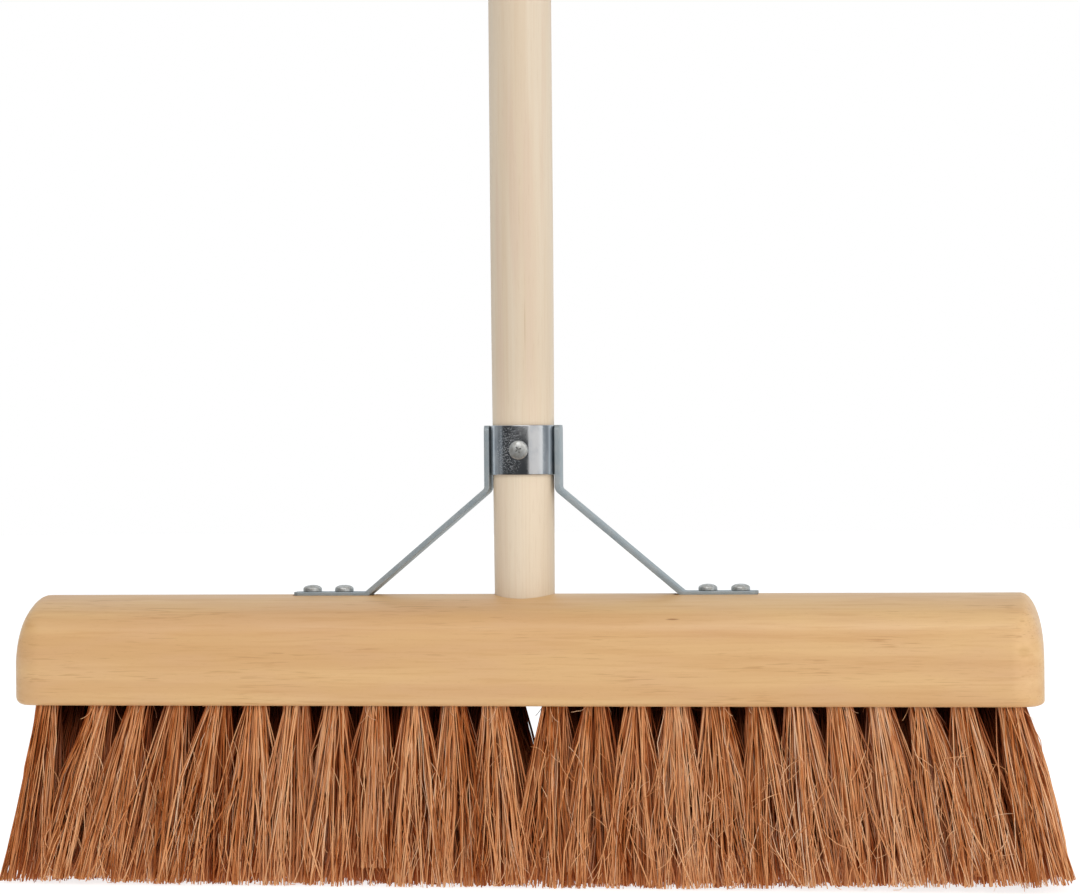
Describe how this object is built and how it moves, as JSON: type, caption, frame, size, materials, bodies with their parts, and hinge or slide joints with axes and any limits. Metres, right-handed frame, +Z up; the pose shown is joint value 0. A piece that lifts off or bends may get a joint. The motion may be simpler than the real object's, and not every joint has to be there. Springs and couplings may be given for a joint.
{
  "type": "coco push broom",
  "caption": "Push broom: crowned wooden stock, staggered rows of splayed coconut fibre tufts, and a long round wooden handle braced by a bent steel stay screwed to the stock.",
  "frame": {"origin": "on the floor under the middle of the stock, at the level of the trimmed bristle tips", "axes": "+Z up along the handle, X along the stock with +X to the right seen from the front, -Y the front, where the collar screw is"},
  "size_m": [0.4814, 0.0674, 1.319],
  "materials": {
    "varnished_pine": "satin",
    "plain_wood": "satin",
    "coconut_fibre": "matte",
    "zinc_steel": "satin",
    "screw_steel": "satin"
  },
  "bodies": {
    "root": {"stock": "varnished_pine", "handle": "plain_wood", "bristle_row_front": "coconut_fibre", "bristle_row_front_inner": "coconut_fibre", "bristle_row_middle": "coconut_fibre", "bristle_row_back_inner": "coconut_fibre", "bristle_row_back": "coconut_fibre", "collar_band": "zinc_steel", "left_leg": "zinc_steel", "right_leg": "zinc_steel", "left_foot_screw_outer": "screw_steel", "left_foot_screw_inner": "screw_steel", "right_foot_screw_outer": "screw_steel", "right_foot_screw_inner": "screw_steel", "collar_screw": "screw_steel"}
  },
  "joints": []
}
